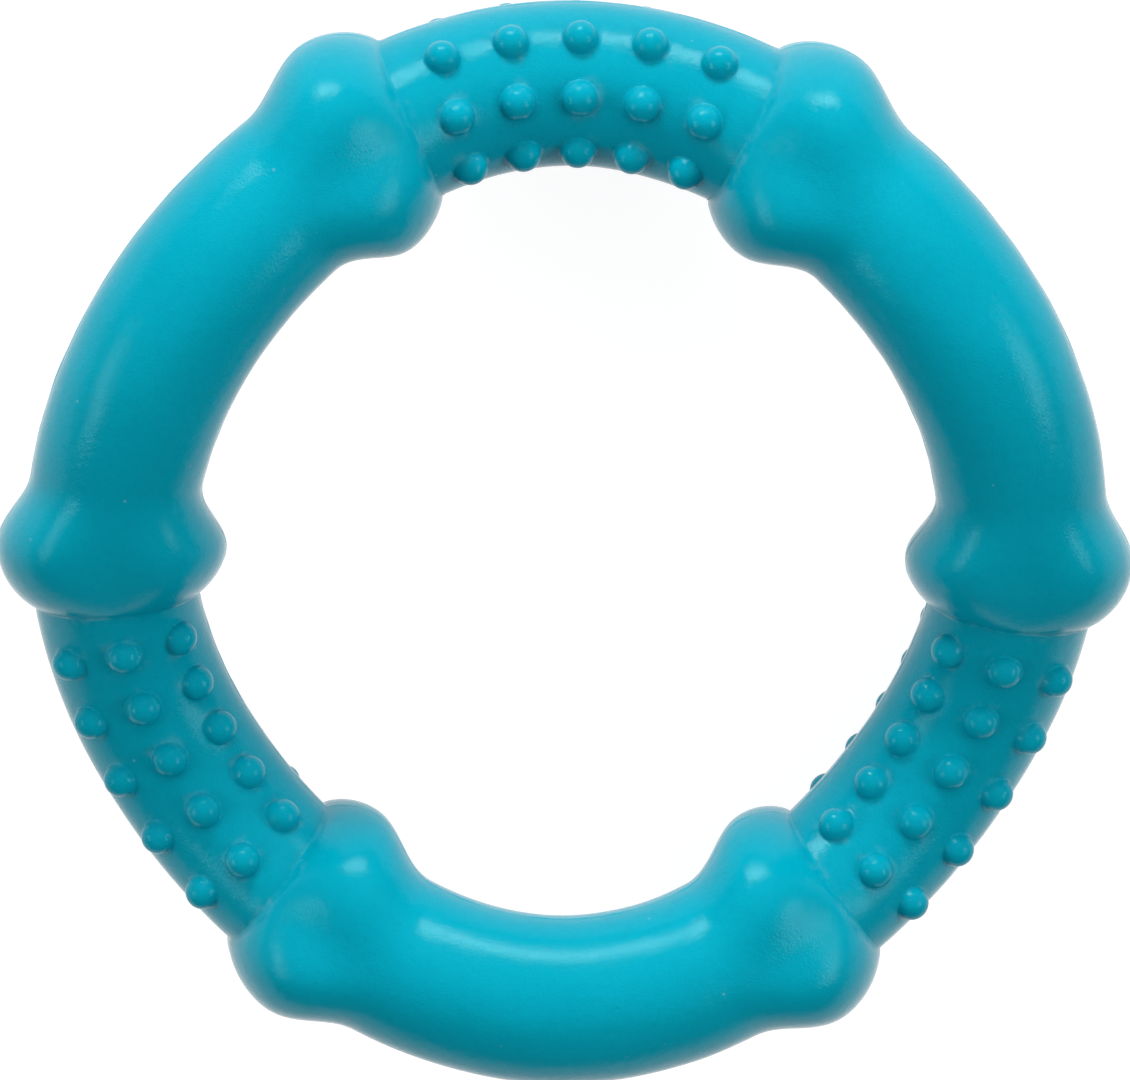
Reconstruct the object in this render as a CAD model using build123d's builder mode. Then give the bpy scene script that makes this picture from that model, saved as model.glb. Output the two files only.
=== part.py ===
"""Chew ring of solid rubber: three bones and three studded cuffs round an endless core.

The ring's axis is Z and its middle is the origin. The ring waves up and down as it goes round:
the bones arch up, and the cuffs sag between them. Sections lie in upright planes through the axis.
Angles round the ring start at +X, and angles round the tube start at its outer side.
"""
import os
from math import ceil, cos, degrees, hypot, pi, radians, sin

from build123d import *

# Ring, and the tube of its studded cuffs with their wall round the core
ring_radius = 64.0
wave_height = 10.0
tube_radius = 11.6
cuff_wall = 4.05

# How far a cuff's ends lap into the bones, and the gap that a bond takes up
lap_length = 3.0
bond_line = 0.05

# Bones, with lengths along the middle of the ring as seen from above
bone_length = 86.0
shaft_step = 0.3
side_neck_length = 11.0
face_neck_length = 14.5
lobe_end_length = 8.0
lobe_bulge = 4.15
lobe_offset = 7.3
saddle_rise = 1.3
saddle_sharpness = 9
saddle_shift = 2.0
end_lean = 2.75
side_rounding = 0.85
face_rounding = 0.6

# Studs, with the pitch along the middle of the ring as seen from above
stud_radius = 2.5
stud_pitch = 8.65
stud_row_angle = 43.0
stud_end_margin = 1.5
stud_root_fillet = 0.3
rest_flat_depth = 0.1

# Bones and cuffs in turn round the ring, from the first bone on
first_bone_angle = 30
bone_sides = ("right", "left", "bottom")
cuff_sides = ("top", "left", "right")

# Sections of a bone, and of the tube
outline_points = 36
shaft_section_pitch = 4.6
neck_sections = 6
end_sections = (0.0, 0.35, 0.6, 0.78, 0.9, 0.97, 1.0)
tube_section_pitch = 4.6

# Values that follow from these sizes
shaft_radius = tube_radius + shaft_step
bore_radius = tube_radius - cuff_wall
core_radius = bore_radius - bond_line
arm_count = len(bone_sides)
arm_angle = 360 / arm_count
lobe_centre = bone_length / 2 - lobe_end_length
neck_reach = side_neck_length / (1 - lobe_offset / ring_radius)
band_length = 2 * pi * ring_radius / arm_count - bone_length
stud_span = band_length - 2 * (stud_radius + stud_end_margin)
studs_in_row = int(stud_span / stud_pitch) + 1
stud_rows = [side * 90 + row * stud_row_angle for side in (1, -1) for row in (-1, 0, 1)]


def ring_angle(length):
    """Angle that a length along the middle of the ring takes up, seen from above."""
    return degrees(length / ring_radius)


def ring_plane(angle, rise, lean=0.0):
    """Upright plane across the ring, with x outward and y up, turned by a lean about its y.

    Its angle is from the middle of a bone or cuff, where the ring has the given rise.
    """
    middle = Vector(ring_radius, 0, rise * cos(radians(arm_count * angle))).rotate(Axis.Z, angle)
    outward = Vector(1, 0).rotate(Axis.Z, angle + lean)
    return Plane(middle, x_dir=outward, z_dir=outward.cross(Vector(0, 0, 1)))


def upright_stretch(angle):
    """How much taller than wide an upright section is, where the ring climbs or falls."""
    return hypot(1, arm_count * wave_height / ring_radius * sin(radians(arm_count * angle)))


def ring_stretch(radius, start, end, rise, mode=Mode.ADD):
    """Stretch of round tube, solid, between two angles from where the ring has the given rise."""
    steps = ceil((end - start) / ring_angle(tube_section_pitch))
    sections = []
    for step in range(steps + 1):
        angle = start + (end - start) * step / steps
        with BuildSketch(ring_plane(angle, rise)) as section:
            Ellipse(radius * upright_stretch(angle), radius, rotation=90)
        sections.append(section.sketch)
    loft(sections, mode=mode)


def bulge_at(along, turn):
    """Rise of a bone over its shaft, at a length from its middle and an angle round it."""
    facing = sin(turn) ** 2
    full_rise = lobe_bulge + (saddle_rise - lobe_bulge) * abs(sin(turn)) ** saddle_sharpness
    past_crest = abs(along) - lobe_centre - saddle_shift * facing
    if past_crest >= 0:
        share = past_crest / (lobe_end_length - saddle_shift * facing)
        rounding = side_rounding + (face_rounding - side_rounding) * facing
        return full_rise * max(0.0, 1 - share ** 2) ** rounding
    neck_length = side_neck_length + (face_neck_length - side_neck_length) * facing
    down_neck = -past_crest * (1 + lobe_offset * cos(turn) / ring_radius)
    return full_rise * (1 + cos(pi * min(1, down_neck / neck_length))) / 2


def bone_outline(along):
    """Points of the closed outline across a bone, at a length from its middle."""
    turns = [2 * pi * step / outline_points for step in range(outline_points)]
    radii = [shaft_radius + bulge_at(along, turn) for turn in turns]
    stretch = upright_stretch(ring_angle(along))
    return [(radius * cos(turn), radius * sin(turn) * stretch) for radius, turn in zip(radii, turns)]


def bone_stations():
    """Lengths from the middle of a bone to its sections, from one end to the other."""
    neck_start = lobe_centre - neck_reach
    shaft_sections = ceil(neck_start / shaft_section_pitch)
    shaft = [neck_start * step / shaft_sections for step in range(shaft_sections)]
    neck = [neck_start + neck_reach * step / neck_sections for step in range(neck_sections)]
    end = [lobe_centre + lobe_end_length * share for share in end_sections]
    half = shaft + neck + end
    return [-along for along in reversed(half[1:])] + half


def bone_plane(along):
    """Section plane of a bone that lies round +X, leaning out past the lobes."""
    past_lobe = max(0.0, abs(along) - lobe_centre)
    lean = -end_lean * past_lobe / lobe_end_length
    return ring_plane(ring_angle(along), wave_height, lean if along > 0 else -lean)


os.makedirs("parts", exist_ok=True)

bone_half_angle = ring_angle(bone_length / 2)
socket_angle = bone_half_angle - ring_angle(lap_length)
rest_height = wave_height + tube_radius + stud_radius - rest_flat_depth

# Endless core, in one stretch for each bone
with BuildPart() as core:
    for step in range(arm_count):
        ring_stretch(core_radius, step * arm_angle, (step + 1) * arm_angle, wave_height)

# Bone round +X, with its bore and its two sockets
knots = [step / outline_points for step in range(outline_points + 1)]
with BuildPart() as bone:
    for along in bone_stations():
        outline = Edge.make_spline(bone_outline(along), periodic=True, parameters=knots)
        with BuildSketch(bone_plane(along)):
            with BuildLine():
                add(outline)
            make_face()
    loft()
    ring_stretch(bore_radius, -arm_angle / 2, arm_angle / 2, wave_height, Mode.SUBTRACT)
    for start, end in ((socket_angle, arm_angle / 2), (-arm_angle / 2, -socket_angle)):
        ring_stretch(tube_radius + bond_line, start, end, wave_height, Mode.SUBTRACT)

# Studded cuff round +X, with both ends lapped into the bones and a small flat that the ring rests on
cuff_half_angle = arm_angle / 2 - socket_angle - ring_angle(bond_line)
stud_middle = (studs_in_row - 1) / 2
with BuildPart() as cuff:
    ring_stretch(tube_radius, -cuff_half_angle, cuff_half_angle, -wave_height)
    stud_planes = []
    for place in range(studs_in_row):
        stud_angle = ring_angle((place - stud_middle) * stud_pitch)
        across = ring_plane(stud_angle, -wave_height)
        tube_height = tube_radius * upright_stretch(stud_angle)
        for row in stud_rows:
            on_tube = Vector(tube_radius * cos(radians(row)), tube_height * sin(radians(row)))
            foot = across.from_local_coords(on_tube)
            stud_planes.append(Plane(foot, x_dir=across.z_dir, z_dir=foot - across.origin))
    with Locations(*stud_planes):
        Sphere(stud_radius)
    stud_roots = cuff.edges(Select.LAST).filter_by(GeomType.CIRCLE, reverse=True)
    fillet(stud_roots, stud_root_fillet)
    ring_stretch(bore_radius, -arm_angle / 2, arm_angle / 2, -wave_height, Mode.SUBTRACT)
    split(bisect_by=Plane.XY.offset(-rest_height), keep=Keep.TOP)

# Copies of the core, the bone and the cuff, turned to their places
copies = [("core_ring", core, first_bone_angle)]
for step, (bone_side, cuff_side) in enumerate(zip(bone_sides, cuff_sides)):
    bone_angle = first_bone_angle + step * arm_angle
    copies.append(("bone_sleeve_" + bone_side, bone, bone_angle))
    copies.append(("studded_cuff_" + cuff_side, cuff, bone_angle + arm_angle / 2))
for name, pattern, angle in copies:
    with BuildPart() as piece:
        with Locations(Rotation(0, 0, angle)):
            add(pattern.part)
    piece.part.label = name
    export_step(piece.part, f"parts/{name}.step")
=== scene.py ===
"""Looks of the chew ring: three bones and three studded cuffs, moulded in turquoise rubber.

The ring waves up and down as it goes round: the bones arch up, and the cuffs sag between them.
Sizes are in millimetres until a mesh is made. Lengths along the ring are measured on the middle
of its tube, as seen from above, and turns round the tube start at its outer side.
"""
from math import cos, pi, radians, sin, tan

import bmesh
import bpy
import numpy as np
from mathutils import Matrix, Vector


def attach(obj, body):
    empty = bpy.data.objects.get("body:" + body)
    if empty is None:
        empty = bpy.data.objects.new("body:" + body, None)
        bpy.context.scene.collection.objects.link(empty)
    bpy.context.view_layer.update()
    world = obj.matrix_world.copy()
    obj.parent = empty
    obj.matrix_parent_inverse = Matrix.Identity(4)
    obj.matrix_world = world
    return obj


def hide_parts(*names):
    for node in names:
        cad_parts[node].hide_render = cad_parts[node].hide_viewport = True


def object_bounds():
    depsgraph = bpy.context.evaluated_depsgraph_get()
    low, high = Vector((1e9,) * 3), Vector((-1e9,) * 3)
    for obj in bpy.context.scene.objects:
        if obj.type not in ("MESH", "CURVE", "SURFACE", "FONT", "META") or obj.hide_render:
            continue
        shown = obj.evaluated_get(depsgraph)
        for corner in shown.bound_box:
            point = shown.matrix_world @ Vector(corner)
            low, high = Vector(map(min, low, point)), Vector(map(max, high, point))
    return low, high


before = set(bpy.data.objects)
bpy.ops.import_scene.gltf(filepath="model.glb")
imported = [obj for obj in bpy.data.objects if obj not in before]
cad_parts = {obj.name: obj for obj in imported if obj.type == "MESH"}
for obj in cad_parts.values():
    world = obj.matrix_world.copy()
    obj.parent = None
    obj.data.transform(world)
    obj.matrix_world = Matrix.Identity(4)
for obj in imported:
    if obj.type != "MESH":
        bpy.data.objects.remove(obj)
cad_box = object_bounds()

MM = 0.001

# The ring and its tube, as the part has them, and the height that the part stands at
RING_RADIUS = 64.0
WAVE_HEIGHT = 10.0
TUBE_RADIUS = 11.6
CUFF_WALL = 4.05
rest_height = -cad_box[0].z / MM

# Bones, as the part has them
BONE_LENGTH = 86.0
SHAFT_STEP = 0.3
SIDE_NECK_LENGTH = 11.0
FACE_NECK_LENGTH = 14.5
LOBE_END_LENGTH = 8.0
LOBE_BULGE = 4.15
LOBE_OFFSET = 7.3
SADDLE_RISE = 1.3
SADDLE_SHARPNESS = 9
SADDLE_SHIFT = 2.0
END_LEAN = radians(2.75)
SIDE_ROUNDING = 0.85
FACE_ROUNDING = 0.6

# Laps of the cuffs into the bones, as the part has them
LAP_LENGTH = 3.0
BOND_GAP = 0.05

# Studs, as the part has them
STUD_RADIUS = 2.5
STUD_PITCH = 8.65
STUD_ROW_TURN = radians(43.0)
STUDS_IN_ROW = 5
ROWS_ON_SIDE = 3

# What the moulding adds: fillets, a lip's thin edge, a parting line and a slight unevenness
SIDE_LIP_FILLET = 0.7
FACE_LIP_FILLET = 1.3
LIP_EDGE = 0.02
SOCKET_GAP = 0.005
STUD_FILLET = 0.35
PARTING_HEIGHT = 0.09
PARTING_HALF_WIDTH = 0.22
PARTING_FADE = 0.6
UNEVEN_SEED = 11
UNEVEN_WAVES = 14
UNEVEN_WAVE_LENGTHS = (9, 34)
UNEVEN_WAVE_HEIGHT = 0.01125

# Where bloom gathers and painted shade deepens the tone: at the bones' lips, along the cuffs up to them,
# and round the studs
LIP_HOLLOW_FALL = 9
LIP_EDGE_HOLLOW = 0.8
CUFF_HOLLOW_REACH = 1.6
CUFF_HOLLOW_FADE = 1.2
STUD_EDGE_HOLLOW = 0.5
STUD_HOLLOW_FALL = 3

# How finely the pieces are cut into faces
EQUATOR_TURNS = np.radians([0.0, 0.3, 0.6, 0.95, 1.35, 1.9])
BONE_TURN_STEP = radians(1.5)
SHAFT_STEPS = 92
END_STEPS = 33
LIP_STEPS = 8
BONE_BORE_STEPS = 24
CUFF_TURN_STEP = radians(3.0)
MARGIN_STEPS = 8
CUFF_BORE_STEPS = 16
CELL_STEPS = 11
CELL_RINGS = 4
CELL_EASE = 0.8
FILLET_STEPS = 5
DOME_STEPS = 9
MERGE_DISTANCE = 0.0004
SHARP_ANGLE = radians(55)

# How finely the starts of the fillets are searched for
LIP_SEARCH = (0.02, 1.0, 900)
STUD_FOOT_RANGE = (0.8, 1.6)
STUD_FOOT_HALVINGS = 40
FOOT_PLACE_ROUNDS = 12
NUDGE = 0.01

# Middles of the bones and cuffs, in degrees round the ring from +X
bone_places = {"right": 30, "left": 150, "bottom": 270}
cuff_places = {"top": 90, "left": 210, "right": 330}

# Values that follow from these sizes
arm_count = len(bone_places)
arm_length = 2 * pi * RING_RADIUS / arm_count
shaft_radius = TUBE_RADIUS + SHAFT_STEP
bore_radius = TUBE_RADIUS - CUFF_WALL
lobe_centre = BONE_LENGTH / 2 - LOBE_END_LENGTH
socket_depth = BONE_LENGTH / 2 - LAP_LENGTH
band_half = (arm_length - BONE_LENGTH) / 2
cuff_half = band_half + LAP_LENGTH - BOND_GAP


# The ring's wave, and places on and off its tube
def wave_phase(angle):
    """Phase of the ring's wave at angles round the ring, nought in the middle of a bone."""
    return arm_count * (angle - radians(bone_places["right"]))


def wave_rise(angle):
    """Height of the tube's middle."""
    return WAVE_HEIGHT * np.cos(wave_phase(angle))


def wave_climb(angle):
    """Climb of the tube's middle for each millimetre along the ring."""
    return -arm_count * WAVE_HEIGHT / RING_RADIUS * np.sin(wave_phase(angle))


def wave_bend(angle):
    """Change of the climb for each millimetre along the ring."""
    return -WAVE_HEIGHT * (arm_count / RING_RADIUS) ** 2 * np.cos(wave_phase(angle))


def ring_points(along, turn, radius, lean=0.0):
    """Points at lengths along the ring, turns round its tube and distances from its middle."""
    along, turn, radius, lean = np.broadcast_arrays(along, turn, radius, lean)
    angle = along / RING_RADIUS
    out = radius * np.cos(turn)
    up = radius * np.sin(turn) * np.hypot(1, wave_climb(angle))
    x = RING_RADIUS * np.cos(angle) + out * np.cos(angle + lean)
    y = RING_RADIUS * np.sin(angle) + out * np.sin(angle + lean)
    return np.stack([x, y, wave_rise(angle) + up], axis=-1)


def tube_place(points):
    """Angles round the ring, with the distances out from and up from the middle of its tube."""
    angle = np.arctan2(points[..., 1], points[..., 0])
    out = np.hypot(points[..., 0], points[..., 1]) - RING_RADIUS
    return angle, out, points[..., 2] - wave_rise(angle)


def off_tube(points):
    """Unit directions square to the tube's skin, away from its middle."""
    angle, out, up = tube_place(points)
    climb = wave_climb(angle)
    up = up / (1 + climb ** 2)
    back = -up * climb
    x = out * np.cos(angle) - back * np.sin(angle)
    y = out * np.sin(angle) + back * np.cos(angle)
    way = np.stack([x, y, up], axis=-1)
    return way / np.linalg.norm(way, axis=-1, keepdims=True)


# The moulded skin
waves = np.random.default_rng(UNEVEN_SEED)
wave_fronts = waves.normal(size=(UNEVEN_WAVES, 3))
wave_lengths = waves.uniform(*UNEVEN_WAVE_LENGTHS, size=UNEVEN_WAVES)
wave_fronts *= (2 * pi / wave_lengths / np.linalg.norm(wave_fronts, axis=1))[:, None]
wave_phases = waves.uniform(0, 2 * pi, size=UNEVEN_WAVES)


def uneven(points):
    """Slight rises and hollows of the moulded skin, the same for pieces that meet."""
    return UNEVEN_WAVE_HEIGHT * np.sin(points @ wave_fronts.T + wave_phases).sum(axis=-1)


def parting(points):
    """Rise of the line that the two halves of the mould leave round the tube's equator."""
    angle, out, up = tube_place(points)
    slow_wear = 0.35 * np.sin(7 * angle + 1.1) * np.sin(23 * angle + 0.4)
    quick_wear = 0.2 * np.sin(61 * angle)
    wear = 0.65 + slow_wear + quick_wear
    return PARTING_HEIGHT * wear * np.exp(-(up / PARTING_HALF_WIDTH) ** 2)


def skin(points, parted=1.0):
    """Points moved out by the moulding's unevenness and parting line."""
    rise = uneven(points) + parted * parting(points)
    return points + rise[..., None] * off_tube(points)


# Meshes of the pieces
def equator_turns(step, reach):
    """Turns on both sides of the equator, close together over the parting line."""
    last = EQUATOR_TURNS[-1]
    coarse = np.linspace(last, reach, max(1, round((reach - last) / step)) + 1)[1:]
    side = np.concatenate([EQUATOR_TURNS, coarse])
    return np.concatenate([-side[:0:-1], side])


def grid_faces(rows, columns, row_closed=False, column_closed=False):
    """Four-sided faces of a grid of points, which may close on itself either way."""
    last_row = rows if row_closed else rows - 1
    last_column = columns if column_closed else columns - 1
    i, j = np.meshgrid(np.arange(last_row), np.arange(last_column), indexing="ij")
    k, m = (i + 1) % rows, (j + 1) % columns
    corners = [i * columns + j, i * columns + m, k * columns + m, k * columns + j]
    return np.stack(corners, axis=-1).reshape(-1, 4).tolist()


def made_piece(name, points, faces, hollow, node, finish):
    """A closed rubber piece that stands for a node of the part."""
    mesh = bpy.data.meshes.new(name)
    mesh.from_pydata((points * MM).tolist(), [], faces)
    # Each point's hollow value sets how much painted shade and bloom its finish gets
    hollows = mesh.attributes.new("hollow", "FLOAT", "POINT")
    hollows.data.foreach_set("value", hollow.astype(np.float32))
    build = bmesh.new()
    build.from_mesh(mesh)
    bmesh.ops.remove_doubles(build, verts=build.verts, dist=MERGE_DISTANCE * MM)
    bmesh.ops.recalc_face_normals(build, faces=build.faces)
    build.to_mesh(mesh)
    build.free()
    mesh.shade_smooth()
    mesh.set_sharp_from_angle(angle=SHARP_ANGLE)
    mesh.materials.append(finish)
    piece = bpy.data.objects.new(name, mesh)
    bpy.context.scene.collection.objects.link(piece)
    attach(piece, "root")
    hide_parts(node)


# Bones: a skin over the shaft, necks and lobes, which runs out into the tube in a small fillet
def by_face(turn, side_value, face_value):
    """A value that changes from the sides of the tube to its upper and lower faces."""
    return side_value + (face_value - side_value) * np.sin(turn) ** 2


def crest_place(turn):
    """Length from a bone's middle to the crest of its end, which lies further out on the faces."""
    return lobe_centre + by_face(turn, 0.0, SADDLE_SHIFT)


def full_rise(turn):
    """Rise of a lobe over the shaft, less at the saddle between the two lobes of an end."""
    saddle = np.abs(np.sin(turn)) ** SADDLE_SHARPNESS
    return LOBE_BULGE + (SADDLE_RISE - LOBE_BULGE) * saddle


def neck_share(before_crest, turn):
    """Share of the full rise at a length before the crest of a bone's end."""
    length = before_crest * (1 + LOBE_OFFSET * np.cos(turn) / RING_RADIUS)
    neck_length = by_face(turn, SIDE_NECK_LENGTH, FACE_NECK_LENGTH)
    return (1 + np.cos(pi * np.minimum(1.0, length / neck_length))) / 2


def end_curve(share, turn):
    """Length past the crest and height over the tube, down the end of a bone."""
    past = (BONE_LENGTH / 2 - crest_place(turn)) * np.sin(share * pi / 2)
    rounding = by_face(turn, SIDE_ROUNDING, FACE_ROUNDING)
    fall = np.maximum(0.0, np.cos(share * pi / 2)) ** (2 * rounding)
    return past, SHAFT_STEP + full_rise(turn) * fall


def lip_start(turn):
    """Place down the end's curve from which a fillet of the lip runs out level with the tube."""
    share = np.linspace(*LIP_SEARCH)[:, None]
    past, height = end_curve(share, turn[None, :])
    slope_past, slope_height = np.gradient(past, axis=0), np.gradient(height, axis=0)
    length = np.hypot(slope_past, slope_height)
    fillet = by_face(turn, SIDE_LIP_FILLET, FACE_LIP_FILLET)
    centre_height = height + fillet * slope_past / length
    first = np.argmax(centre_height < fillet, axis=0)
    first[centre_height.min(axis=0) >= fillet] = len(share) - 1
    column = np.arange(len(turn))
    tilt = np.arctan2(-slope_height, slope_past)[first, column]
    return share[first, 0], past[first, column], height[first, column], tilt


def bone_end(turn):
    """Lengths, radii and hollows of the rings from the crest of a bone's end to the lip's edge."""
    stop, past, height, tilt = lip_start(turn)
    fillet = by_face(turn, SIDE_LIP_FILLET, FACE_LIP_FILLET)
    rings = []
    for share in np.linspace(0, 1, END_STEPS + 1)[1:]:
        ring_past, ring_height = end_curve(share * stop, turn)
        # The hollow value, for painted shade and bloom, rises towards the lip
        rings.append((ring_past, ring_height, np.exp(-((1 - share) * stop * LIP_HOLLOW_FALL) ** 2)))
    for share in np.linspace(0, 1, LIP_STEPS + 1)[1:]:
        left = tilt * (1 - share)
        ring_past = past + fillet * (np.sin(tilt) - np.sin(left))
        ring_height = height - fillet * (np.cos(left) - np.cos(tilt))
        rings.append((ring_past, np.maximum(ring_height, LIP_EDGE), np.ones_like(turn)))
    rings[-1] = (ring_past, np.full_like(turn, LIP_EDGE), np.full_like(turn, LIP_EDGE_HOLLOW))
    crest = crest_place(turn)
    return [(crest + length, TUBE_RADIUS + rise, hollow) for length, rise, hollow in rings]


def lean_at(along):
    """Lean of a bone's sections past its lobes."""
    past = np.clip(np.abs(along) - lobe_centre, 0, LOBE_END_LENGTH) / LOBE_END_LENGTH
    return -np.sign(along) * END_LEAN * past


def bone_rings(turn, middle):
    """Rings of points round a bone, over its skin and back through its sockets and bore."""
    shaft = []
    crest = crest_place(turn)
    for share in np.linspace(-1, 1, SHAFT_STEPS + 1):
        rise = full_rise(turn) * neck_share(crest * (1 - abs(share)), turn)
        shaft.append((crest * share, shaft_radius + rise, np.zeros_like(turn)))
    end = bone_end(turn)
    other_end = [(-along, radius, hollow) for along, radius, hollow in reversed(end)]
    outside = other_end + shaft + end
    lip, wall = end[-1][0], TUBE_RADIUS + SOCKET_GAP
    bore = np.linspace(socket_depth, -socket_depth, BONE_BORE_STEPS + 1)
    inside = [(lip, wall), (np.full_like(turn, socket_depth), wall)]
    inside += [(np.full_like(turn, along), bore_radius) for along in bore]
    inside += [(np.full_like(turn, -socket_depth), wall), (-lip, wall)]
    outside_points = np.stack([ring_points(middle + a, turn, r, lean_at(a)) for a, r, hollow in outside])
    inside_points = np.stack([ring_points(middle + a, turn, r, lean_at(a)) for a, r in inside])
    outside_hollow = np.stack([hollow for along, radius, hollow in outside])
    hollow = np.concatenate([outside_hollow, np.ones(inside_points.shape[:2])])
    return outside_points, inside_points, hollow


def make_bone(side, place, finish):
    """A bone at its place round the ring."""
    half_turn = equator_turns(BONE_TURN_STEP, pi / 2)
    turn = np.concatenate([half_turn[:-1], pi + half_turn[:-1]])
    outside, inside, hollow = bone_rings(turn, radians(place) * RING_RADIUS)
    points = np.concatenate([skin(outside), inside])
    rows, columns = points.shape[:2]
    faces = grid_faces(rows, columns, row_closed=True, column_closed=True)
    node = "bone_sleeve_" + side
    made_piece("rubber_bone_" + side, points.reshape(-1, 3), faces, hollow.ravel(), node, finish)


# Cuffs: a tube with three rows of round studs on each face
def stud_axes(along, turn):
    """Foot of a stud's axis on the tube, and the directions up it, along the ring and across."""
    middle = ring_points(along, turn, TUBE_RADIUS)
    up = off_tube(middle)
    ahead = ring_points(along + NUDGE, turn, TUBE_RADIUS) - ring_points(along - NUDGE, turn, TUBE_RADIUS)
    ahead = ahead - (ahead @ up) * up
    ahead = ahead / np.linalg.norm(ahead)
    across = np.cross(up, ahead)
    round_tube = ring_points(along, turn + NUDGE, TUBE_RADIUS) - middle
    return middle, up, ahead, across if across @ round_tube > 0 else -across


def skin_bend(along, turn, way):
    """How sharply the tube's skin falls away from a stud, in directions round the stud."""
    reach = RING_RADIUS + TUBE_RADIUS * np.cos(turn)
    sag = wave_bend(along / RING_RADIUS) * np.sin(turn)
    return np.sin(way) ** 2 / TUBE_RADIUS + np.cos(way) ** 2 * (np.cos(turn) / reach - sag)


def stud_profile(bend):
    """Foot of a stud's fillet on a skin that bends away, with the fillet's centre, for each side."""
    low, high = [np.full_like(bend, STUD_RADIUS * share) for share in STUD_FOOT_RANGE]
    for step in range(STUD_FOOT_HALVINGS):
        foot = (low + high) / 2
        slope = np.arctan(bend * foot)
        centre_out = foot + STUD_FILLET * np.sin(slope)
        centre_up = -bend * foot ** 2 / 2 + STUD_FILLET * np.cos(slope)
        wide = np.hypot(centre_out, centre_up) > STUD_RADIUS + STUD_FILLET
        low, high = np.where(wide, low, foot), np.where(wide, foot, high)
    return foot, slope, centre_out, centre_up


def foot_places(along, turn, way, foot, axes):
    """Lengths and turns from a stud to the foot of its fillet, and the height of the skin there."""
    middle, up, ahead, across = axes
    reach = RING_RADIUS + TUBE_RADIUS * np.cos(turn)
    foot_along, foot_turn = np.zeros_like(way), np.zeros_like(way)
    for step in range(FOOT_PLACE_ROUNDS):
        at = ring_points(along + foot_along, turn + foot_turn, TUBE_RADIUS) - middle
        foot_along += (foot * np.cos(way) - at @ ahead) * RING_RADIUS / reach
        foot_turn += (foot * np.sin(way) - at @ across) / TUBE_RADIUS
    at = ring_points(along + foot_along, turn + foot_turn, TUBE_RADIUS) - middle
    return foot_along, foot_turn, at @ up


def cell_edge():
    """Lengths and turns from a stud to the edge of its cell, in the middle of the gaps."""
    edge = np.linspace(-1, 1, CELL_STEPS + 1)[:-1]
    one = np.ones_like(edge)
    edge_along = np.concatenate([edge, one, -edge, -one]) * STUD_PITCH / 2
    edge_turn = np.concatenate([-one, edge, one, -edge]) * STUD_ROW_TURN / 2
    return edge_along, edge_turn


def stud_cell(along, turn):
    """Points, faces and hollows of one stud and the skin round it, out to the middle of the gaps."""
    edge_along, edge_turn = cell_edge()
    steps = len(edge_along)
    first_corner = -3 * pi / 4
    way = first_corner + 2 * pi * np.arange(steps) / steps
    axes = stud_axes(along, turn)
    middle, up, ahead, across = axes
    bend = skin_bend(along, turn, way)
    foot, slope, centre_out, centre_up = stud_profile(bend)
    foot_along, foot_turn, foot_height = foot_places(along, turn, way, foot, axes)
    mismatch = foot_height + bend * foot ** 2 / 2

    def stud_ring(out, height):
        flat = (out * np.cos(way))[:, None] * ahead + (out * np.sin(way))[:, None] * across
        return middle + flat + np.asarray(height)[:, None] * up

    rings, hollow = [], []
    for share in np.linspace(0, 1, CELL_RINGS + 1):
        ease = share ** CELL_EASE
        ring_along = edge_along + (foot_along - edge_along) * ease
        ring_turn = edge_turn + (foot_turn - edge_turn) * ease
        rings.append(ring_points(along + ring_along, turn + ring_turn, TUBE_RADIUS))
        # Hollow values, for painted shade and bloom, are highest at the stud's foot
        hollow.append(np.full(steps, share ** 3))
    lift = np.arctan2(centre_up, centre_out)
    for share in np.linspace(0, 1, FILLET_STEPS + 1)[1:]:
        toward = (-pi / 2 - slope) * (1 - share) + (-pi + lift) * share
        out = centre_out + STUD_FILLET * np.cos(toward)
        height = centre_up + STUD_FILLET * np.sin(toward) + mismatch * (1 - share)
        rings.append(stud_ring(out, height))
        hollow.append(np.full(steps, 1 + (STUD_EDGE_HOLLOW - 1) * share))
    for share in np.linspace(0, 1, DOME_STEPS + 1)[1:-1]:
        climb = lift + (pi / 2 - lift) * share
        rings.append(stud_ring(STUD_RADIUS * np.cos(climb), STUD_RADIUS * np.sin(climb)))
        hollow.append(np.full(steps, STUD_EDGE_HOLLOW * max(0.0, 1 - share * STUD_HOLLOW_FALL)))

    rows = len(rings)
    points = np.concatenate([np.concatenate(rings), [middle + STUD_RADIUS * up]])
    faces = grid_faces(rows, steps, column_closed=True)
    last, pole = (rows - 1) * steps, rows * steps
    faces += [[last + k, last + (k + 1) % steps, pole] for k in range(steps)]
    return points, faces, np.concatenate(hollow + [[0.0]])


def stud_blocks(middle):
    """Cells of all the studs of a cuff, given the length along the ring to its middle."""
    row_middle, stud_middle = (ROWS_ON_SIDE - 1) / 2, (STUDS_IN_ROW - 1) / 2
    blocks = []
    for face_turn in (pi / 2, -pi / 2):
        for row in range(ROWS_ON_SIDE):
            for stud in range(STUDS_IN_ROW):
                along = middle + (stud - stud_middle) * STUD_PITCH
                blocks.append(stud_cell(along, face_turn + (row - row_middle) * STUD_ROW_TURN))
    return blocks


def plain_block(along, turn, radius):
    """Points, faces and hollows of a stretch of plain tube."""
    points = ring_points(along[:, None], turn[None, :], radius)
    return points.reshape(-1, 3), grid_faces(len(along), len(turn)), np.zeros(len(along) * len(turn))


def end_block(along, turn):
    """Points, faces and hollows of a cuff's end, from its skin to its bore."""
    points = ring_points(along, turn, np.array([[TUBE_RADIUS], [bore_radius]]))
    return points.reshape(-1, 3), grid_faces(2, len(turn)), np.zeros(2 * len(turn))


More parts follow.
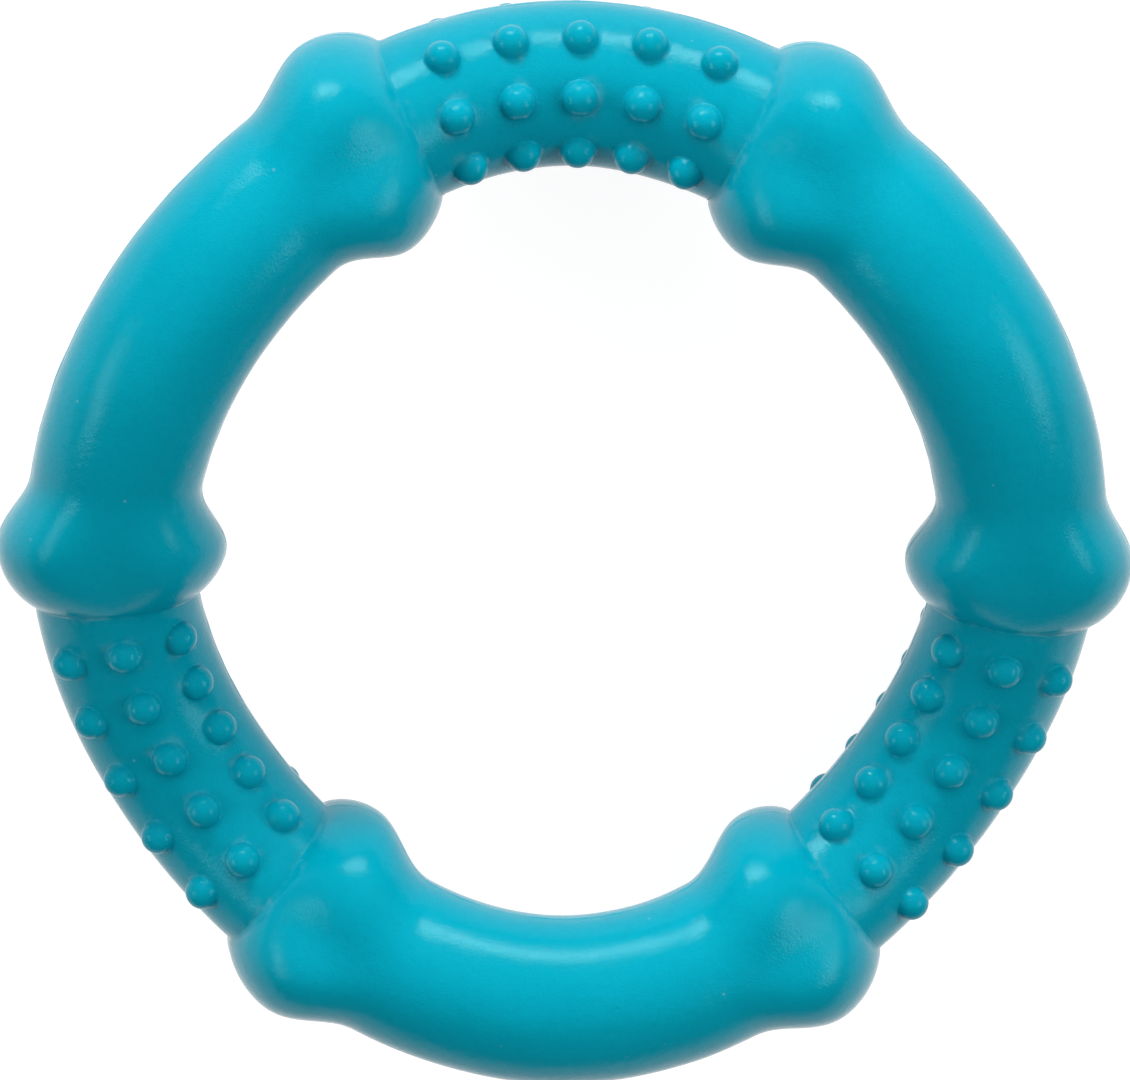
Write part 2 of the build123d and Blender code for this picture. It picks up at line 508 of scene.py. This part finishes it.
def plain_blocks(middle):
    """The rest of a cuff: the skin past and beside its studs, its two ends and its bore."""
    studded_half = STUDS_IN_ROW * STUD_PITCH / 2
    studded_turn = ROWS_ON_SIDE * STUD_ROW_TURN / 2
    studded = np.linspace(-studded_half, studded_half, STUDS_IN_ROW * CELL_STEPS + 1)
    margin = np.linspace(studded_half, cuff_half, MARGIN_STEPS + 1)
    bore = np.linspace(-cuff_half, cuff_half, CUFF_BORE_STEPS + 1)
    gap = equator_turns(CUFF_TURN_STEP, pi / 2 - studded_turn)
    row_turns = np.linspace(-studded_turn, studded_turn, ROWS_ON_SIDE * CELL_STEPS + 1)
    blocks = []
    for turn in (gap, pi / 2 + row_turns, pi + gap, -pi / 2 + row_turns):
        for along in (margin, -margin):
            blocks.append(plain_block(middle + along, turn, TUBE_RADIUS))
            blocks.append(end_block(middle + along[-1], turn))
        blocks.append(plain_block(middle + bore, turn, bore_radius))
    for turn in (gap, pi + gap):
        blocks.append(plain_block(middle + studded, turn, TUBE_RADIUS))
    return blocks


def make_cuff(side, place, finish):
    """A studded cuff at its place, with its ends lapped into the bones and flat where it rests."""
    middle = radians(place) * RING_RADIUS
    points, faces, hollow, start = [], [], [], 0
    for block_points, block_faces, block_hollow in stud_blocks(middle) + plain_blocks(middle):
        points.append(block_points)
        hollow.append(block_hollow)
        faces += [[start + corner for corner in face] for face in block_faces]
        start += len(block_points)
    points, hollow = np.concatenate(points), np.concatenate(hollow)
    angle, out, up = tube_place(points)
    from_middle = np.abs((angle - radians(place) + pi) % (2 * pi) - pi) * RING_RADIUS
    # Painted shade and bloom grow along the cuff towards the bones' lips
    lip_hollow = (from_middle - band_half + CUFF_HOLLOW_REACH) / CUFF_HOLLOW_FADE
    hollow = np.maximum(hollow, np.clip(lip_hollow, 0, 1))
    bare = np.clip((band_half - from_middle) / PARTING_FADE, 0, 1)
    outer = np.hypot(out, up) > bore_radius + CUFF_WALL / 2
    points[outer] = skin(points, bare)[outer]
    points[:, 2] = np.maximum(points[:, 2], -rest_height)
    made_piece("rubber_cuff_" + side, points, faces, hollow, "studded_cuff_" + side, finish)


# Shader nodes
WHITE = (1.0, 1.0, 1.0, 1.0)


def node_group(name, inputs, outputs):
    """An empty shader node group with its named sockets, and its two end nodes."""
    group = bpy.data.node_groups.new(name, "ShaderNodeTree")
    for label, kind, value in inputs:
        socket = group.interface.new_socket(name=label, in_out="INPUT", socket_type=kind)
        socket.default_value = value
    for label, kind in outputs:
        group.interface.new_socket(name=label, in_out="OUTPUT", socket_type=kind)
    return group, group.nodes.new("NodeGroupInput"), group.nodes.new("NodeGroupOutput")


def feed(tree, socket, value):
    """Give a socket another node's result, or a plain value."""
    if isinstance(value, bpy.types.NodeSocket):
        tree.links.new(value, socket)
    else:
        socket.default_value = value


def add_node(tree, kind, values=None, **settings):
    """A shader node with its settings and its sockets' values."""
    node = tree.nodes.new(kind)
    for key, value in settings.items():
        setattr(node, key, value)
    for key, value in (values or {}).items():
        feed(tree, node.inputs[key], value)
    return node


def math_node(tree, operation, first, second, clamp=False):
    """A maths node fed by sockets or numbers, and its result."""
    node = add_node(tree, "ShaderNodeMath", {0: first, 1: second}, operation=operation, use_clamp=clamp)
    return node.outputs[0]


def mixed_colour(tree, share, first, second):
    """A colour between two, by a share."""
    node = add_node(tree, "ShaderNodeMix", data_type="RGBA")
    for index, value in ((0, share), (6, first), (7, second)):
        feed(tree, node.inputs[index], value)
    return node.outputs[2]


def spread(tree, value, low, high, to_low=0.0, to_high=1.0):
    """A value's range stretched to another, softly at both ends."""
    ends = {"Value": value, "From Min": low, "From Max": high, "To Min": to_low, "To Max": to_high}
    node = add_node(tree, "ShaderNodeMapRange", ends, interpolation_type="SMOOTHSTEP")
    return node.outputs["Result"]


def noise(tree, place, scale, detail, roughness):
    """Fractal noise over the object, as a value about a half."""
    values = {"Vector": place, "Scale": scale, "Detail": detail, "Roughness": roughness}
    return add_node(tree, "ShaderNodeTexNoise", values).outputs[0]


def cells_with_chance(tree, place, scale, channel):
    """Distance to the middle of the cell that a point lies in, and the cell's chance of being picked."""
    cells = add_node(tree, "ShaderNodeTexVoronoi", {"Vector": place, "Scale": scale, "Randomness": 1.0})
    chances = add_node(tree, "ShaderNodeSeparateColor", {"Color": cells.outputs["Color"]})
    return cells.outputs["Distance"], chances.outputs[channel]


# Effects that the rubbers share
def make_grain_group():
    """Fine grain, a soft orange peel and a few pits of a moulded rubber skin, as a height."""
    group, given, result = node_group("rubber_grain", [
        ("Grain", "NodeSocketFloat", 0.4), ("Peel", "NodeSocketFloat", 0.5),
        ("Pits", "NodeSocketFloat", 0.3)],
        [("Height", "NodeSocketFloat")])
    place = add_node(group, "ShaderNodeTexCoord").outputs["Object"]
    grain = noise(group, place, scale=3200.0, detail=2.0, roughness=0.55)
    peel = noise(group, place, scale=560.0, detail=1.0, roughness=0.4)
    distance, chance = cells_with_chance(group, place, scale=620.0, channel=0)
    rare = spread(group, chance, low=0.86, high=0.95)
    near = spread(group, distance, low=0.22, high=0.08)
    pit = math_node(group, "MULTIPLY", rare, near)
    grain_height = math_node(group, "MULTIPLY", grain, given.outputs["Grain"])
    peel_height = math_node(group, "MULTIPLY", peel, given.outputs["Peel"])
    pit_depth = math_node(group, "MULTIPLY", pit, given.outputs["Pits"])
    height = math_node(group, "ADD", grain_height, peel_height)
    height = math_node(group, "SUBTRACT", height, pit_depth)
    group.links.new(height, result.inputs["Height"])
    return group


def make_tone_group():
    """Cloudy tone of a coloured rubber with a fine mottle, and painted shade that deepens it in hollows."""
    group, given, result = node_group("rubber_tone", [
        ("Base", "NodeSocketColor", WHITE), ("Pale", "NodeSocketColor", WHITE),
        ("Deep", "NodeSocketColor", WHITE), ("Hollow", "NodeSocketFloat", 0.0)],
        [("Color", "NodeSocketColor")])
    place = add_node(group, "ShaderNodeTexCoord").outputs["Object"]
    cloud = spread(group, noise(group, place, scale=55.0, detail=3.0, roughness=0.5), low=0.35, high=0.68)
    mottle = spread(group, noise(group, place, scale=900.0, detail=2.0, roughness=0.6), low=0.42, high=0.75)
    pale = math_node(group, "MULTIPLY", cloud, 0.5)
    colour = mixed_colour(group, pale, given.outputs["Base"], given.outputs["Pale"])
    deep_mottle = math_node(group, "MULTIPLY", mottle, 0.35)
    # Painted shade: the hollow value darkens the tone in creases, at lips and round the studs' feet
    hollow_painted_shade = math_node(group, "MULTIPLY", given.outputs["Hollow"], 0.3)
    deep = math_node(group, "ADD", deep_mottle, hollow_painted_shade, clamp=True)
    colour = mixed_colour(group, deep, colour, given.outputs["Deep"])
    group.links.new(colour, result.inputs["Color"])
    return group


def make_dust_group():
    """Specks of dust and the faint bloom that gathers in hollows, as masks."""
    group, given, result = node_group("dust_and_bloom", [
        ("Hollow", "NodeSocketFloat", 0.0), ("Dust", "NodeSocketFloat", 0.3),
        ("Bloom", "NodeSocketFloat", 0.3)],
        [("Dust Mask", "NodeSocketFloat"), ("Bloom Mask", "NodeSocketFloat")])
    place = add_node(group, "ShaderNodeTexCoord").outputs["Object"]
    distance, chance = cells_with_chance(group, place, scale=430.0, channel=1)
    rare = spread(group, chance, low=0.93, high=0.97)
    near = spread(group, distance, low=0.13, high=0.06)
    speck = math_node(group, "MULTIPLY", rare, near)
    patch = spread(group, noise(group, place, scale=260.0, detail=4.0, roughness=0.65), low=0.5, high=0.72)
    bloom = math_node(group, "MULTIPLY", patch, given.outputs["Hollow"])
    dust_mask = math_node(group, "MULTIPLY", speck, given.outputs["Dust"])
    bloom_mask = math_node(group, "MULTIPLY", bloom, given.outputs["Bloom"])
    group.links.new(dust_mask, result.inputs["Dust Mask"])
    group.links.new(bloom_mask, result.inputs["Bloom Mask"])
    return group


def make_gloss_group():
    """Uneven gloss of rubber that has been handled, as a roughness."""
    group, given, result = node_group("handled_gloss", [
        ("Roughness", "NodeSocketFloat", 0.35), ("Change", "NodeSocketFloat", 0.1)],
        [("Roughness", "NodeSocketFloat")])
    place = add_node(group, "ShaderNodeTexCoord").outputs["Object"]
    flattened = add_node(group, "ShaderNodeMapping", {"Vector": place, "Scale": (1.0, 1.0, 2.0)})
    smear = noise(group, flattened.outputs["Vector"], scale=90.0, detail=4.0, roughness=0.6)
    fine = noise(group, place, scale=1500.0, detail=1.0, roughness=0.5)
    smear_share = math_node(group, "MULTIPLY", smear, 1.4)
    fine_share = math_node(group, "MULTIPLY", fine, 0.6)
    about_nought = math_node(group, "SUBTRACT", math_node(group, "ADD", smear_share, fine_share), 1.0)
    change = math_node(group, "MULTIPLY", about_nought, given.outputs["Change"])
    total = math_node(group, "ADD", given.outputs["Roughness"], change, clamp=True)
    group.links.new(total, result.inputs["Roughness"])
    return group


grain_group = make_grain_group()
tone_group = make_tone_group()
dust_group = make_dust_group()
gloss_group = make_gloss_group()

# Finishes of the pieces
BLOOM_COLOUR = (0.36, 0.62, 0.68, 1.0)
BLOOM_ROUGHNESS = 0.3
DUST_COLOUR = (0.75, 0.8, 0.8, 1.0)
HIGHLIGHT_TINT = (0.5, 0.95, 1.0, 1.0)
RUBBER_IOR = 1.25


def rubber_finish(name, base, pale, deep, roughness, smears, grain, peel, pits, grain_depth, dust, bloom):
    """A rubber with its own tone, gloss, grain and dust."""
    finish = bpy.data.materials.new(name)
    finish.use_nodes = True
    tree = finish.node_tree
    shader = tree.nodes["Principled BSDF"]
    # The hollow value carries painted shade into the tone, and bloom into the dirt
    hollow = add_node(tree, "ShaderNodeAttribute", attribute_name="hollow").outputs["Fac"]

    def effect(group, values):
        node = add_node(tree, "ShaderNodeGroup", node_tree=group)
        for label, value in values.items():
            feed(tree, node.inputs[label], value)
        return node.outputs

    tone = effect(tone_group, {"Base": base, "Pale": pale, "Deep": deep, "Hollow": hollow})
    skin_grain = effect(grain_group, {"Grain": grain, "Peel": peel, "Pits": pits})
    dirt = effect(dust_group, {"Hollow": hollow, "Dust": dust, "Bloom": bloom})
    gloss = effect(gloss_group, {"Roughness": roughness, "Change": smears})

    colour = mixed_colour(tree, dirt["Bloom Mask"], tone["Color"], BLOOM_COLOUR)
    colour = mixed_colour(tree, dirt["Dust Mask"], colour, DUST_COLOUR)
    bloom_rough = math_node(tree, "MULTIPLY", dirt["Bloom Mask"], BLOOM_ROUGHNESS)
    rough = math_node(tree, "ADD", gloss["Roughness"], bloom_rough, clamp=True)
    bump = add_node(tree, "ShaderNodeBump", {"Strength": 1.0, "Distance": grain_depth})
    tree.links.new(skin_grain["Height"], bump.inputs["Height"])
    tree.links.new(colour, shader.inputs["Base Color"])
    tree.links.new(rough, shader.inputs["Roughness"])
    tree.links.new(bump.outputs["Normal"], shader.inputs["Normal"])
    shader.inputs["Specular Tint"].default_value = HIGHLIGHT_TINT
    shader.inputs["IOR"].default_value = RUBBER_IOR
    return finish


bone_rubber = rubber_finish(
    "bone_rubber",
    base=(0.0, 0.372, 0.500, 1.0), pale=(0.001, 0.405, 0.540, 1.0), deep=(0.0, 0.330, 0.455, 1.0),
    roughness=0.12, smears=0.04, grain=0.60, peel=0.55, pits=0.35, grain_depth=0.08 * MM,
    dust=0.12, bloom=0.12)
cuff_rubber = rubber_finish(
    "cuff_rubber",
    base=(0.0, 0.368, 0.495, 1.0), pale=(0.001, 0.400, 0.535, 1.0), deep=(0.0, 0.326, 0.450, 1.0),
    roughness=0.12, smears=0.04, grain=0.56, peel=0.45, pits=0.30, grain_depth=0.08 * MM,
    dust=0.15, bloom=0.15)
core_rubber = rubber_finish(
    "core_rubber",
    base=(0.01, 0.22, 0.30, 1.0), pale=(0.02, 0.26, 0.34, 1.0), deep=(0.005, 0.17, 0.24, 1.0),
    roughness=0.55, smears=0.10, grain=0.50, peel=0.45, pits=0.30, grain_depth=0.1 * MM,
    dust=0.1, bloom=0.0)

for side, place in bone_places.items():
    make_bone(side, place, bone_rubber)
for side, place in cuff_places.items():
    make_cuff(side, place, cuff_rubber)
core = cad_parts["core_ring"]
core.data.materials.clear()
core.data.materials.append(core_rubber)

# Floor, light and camera, in metres, with the lens in millimetres
FLOOR_REACH = 12.0
FLOOR_GREY = (0.28, 0.28, 0.28, 1.0)
FLOOR_GLOW = 0.91
WORLD_NEAR_SIDE = -0.6
WORLD_FAR_SIDE = 0.8
MIRRORED_DIMMING = 0.5
STUDIO_RADIUS = 1.6
CAMERA_SIDE = (-0.0434, 0.2496, 1.0)
CAMERA_DISTANCE = 1.0
CAMERA_ROLL = radians(1.6)
FRAME_WIDTH = 0.15914
AIM_OFFSET = (-0.00028, 0.00055)
SENSOR_WIDTH = 36.0
CLIP_RANGE = (0.05, 60.0)


def make_floor():
    """A white floor that stays white to the eye and in reflections, and keeps the shadow."""
    mesh = bpy.data.meshes.new("white_floor")
    signs = [(-1, -1), (1, -1), (1, 1), (-1, 1)]
    mesh.from_pydata([(x * FLOOR_REACH, y * FLOOR_REACH, 0) for x, y in signs], [], [(0, 1, 2, 3)])
    floor = bpy.data.objects.new("white_floor", mesh)
    floor.location.z = -rest_height * MM
    bpy.context.scene.collection.objects.link(floor)
    paint = bpy.data.materials.new("white_floor_paint")
    paint.use_nodes = True
    tree = paint.node_tree
    tree.nodes.clear()
    path = add_node(tree, "ShaderNodeLightPath")
    seen = math_node(tree, "ADD", path.outputs["Is Camera Ray"], path.outputs["Is Glossy Ray"])
    seen = math_node(tree, "ADD", seen, path.outputs["Is Transmission Ray"], clamp=True)
    strength = math_node(tree, "MULTIPLY", seen, FLOOR_GLOW)
    matt = add_node(tree, "ShaderNodeBsdfDiffuse", {"Color": FLOOR_GREY})
    glow = add_node(tree, "ShaderNodeEmission", {"Color": WHITE, "Strength": strength})
    both = add_node(tree, "ShaderNodeAddShader")
    tree.links.new(matt.outputs[0], both.inputs[0])
    tree.links.new(glow.outputs[0], both.inputs[1])
    tree.links.new(both.outputs[0], add_node(tree, "ShaderNodeOutputMaterial").inputs["Surface"])
    mesh.materials.append(paint)


def softbox(name, round_way, up_way, wide, high, level, mirrored=True):
    """A soft lamp that faces the ring, by its directions and widths in degrees and its brightness."""
    lamp = bpy.data.lights.new(name, "AREA")
    lamp.shape = "RECTANGLE"
    lamp.size, lamp.size_y = [2 * STUDIO_RADIUS * tan(radians(angle) / 2) for angle in (wide, high)]
    lamp.energy = level * pi * lamp.size * lamp.size_y
    box = bpy.data.objects.new(name, lamp)
    level_way = Vector((cos(radians(round_way)), sin(radians(round_way)), 0.0))
    toward = level_way * cos(radians(up_way)) + Vector((0.0, 0.0, sin(radians(up_way))))
    box.location = toward * STUDIO_RADIUS
    box.rotation_mode = "QUATERNION"
    box.rotation_quaternion = toward.to_track_quat("Z", "Y")
    box.visible_glossy = mirrored
    bpy.context.scene.collection.objects.link(box)


def make_world(near, far):
    """A grey studio, paler on the far side, and darker where only its reflection is seen."""
    world = bpy.data.worlds.new("grey_studio")
    world.use_nodes = True
    tree = world.node_tree
    place = add_node(tree, "ShaderNodeTexCoord").outputs["Generated"]
    way = add_node(tree, "ShaderNodeSeparateXYZ", {0: place})
    level = spread(tree, way.outputs["Y"], WORLD_NEAR_SIDE, WORLD_FAR_SIDE, near, far)
    mirrored = add_node(tree, "ShaderNodeLightPath").outputs["Is Glossy Ray"]
    dimmed = math_node(tree, "MULTIPLY", mirrored, MIRRORED_DIMMING)
    strength = math_node(tree, "MULTIPLY", level, math_node(tree, "SUBTRACT", 1.0, dimmed))
    background = tree.nodes["Background"]
    tree.links.new(strength, background.inputs["Strength"])
    background.inputs["Color"].default_value = WHITE
    bpy.context.scene.world = world


def make_camera():
    """The camera, nearly over the ring and a little towards its top."""
    lens = bpy.data.cameras.new("camera")
    camera = bpy.data.objects.new("camera", lens)
    lens.sensor_width = SENSOR_WIDTH
    lens.lens = SENSOR_WIDTH * CAMERA_DISTANCE / FRAME_WIDTH
    lens.clip_start, lens.clip_end = CLIP_RANGE
    toward = Vector(CAMERA_SIDE).normalized()
    right = Vector((0.0, 1.0, 0.0)).cross(toward).normalized()
    upright = Matrix((right, toward.cross(right), toward)).transposed()
    rolled = (upright @ Matrix.Rotation(CAMERA_ROLL, 3, "Z")).to_4x4()
    aim = rolled @ Vector((*AIM_OFFSET, 0.0))
    camera.matrix_world = Matrix.Translation(aim + toward * CAMERA_DISTANCE) @ rolled
    bpy.context.scene.collection.objects.link(camera)
    bpy.context.scene.camera = camera


make_floor()
make_world(near=0.24, far=0.54)
softbox("far_softbox", round_way=97, up_way=11, wide=32, high=12, level=18.0)
softbox("right_softbox", round_way=2, up_way=34, wide=32, high=18, level=4.6)
softbox("left_softbox", round_way=186, up_way=27, wide=32, high=14, level=4.6)
softbox("far_fill", round_way=84, up_way=36, wide=60, high=34, level=1.0, mirrored=False)
make_camera()
bpy.context.scene.view_settings.view_transform = "Standard"
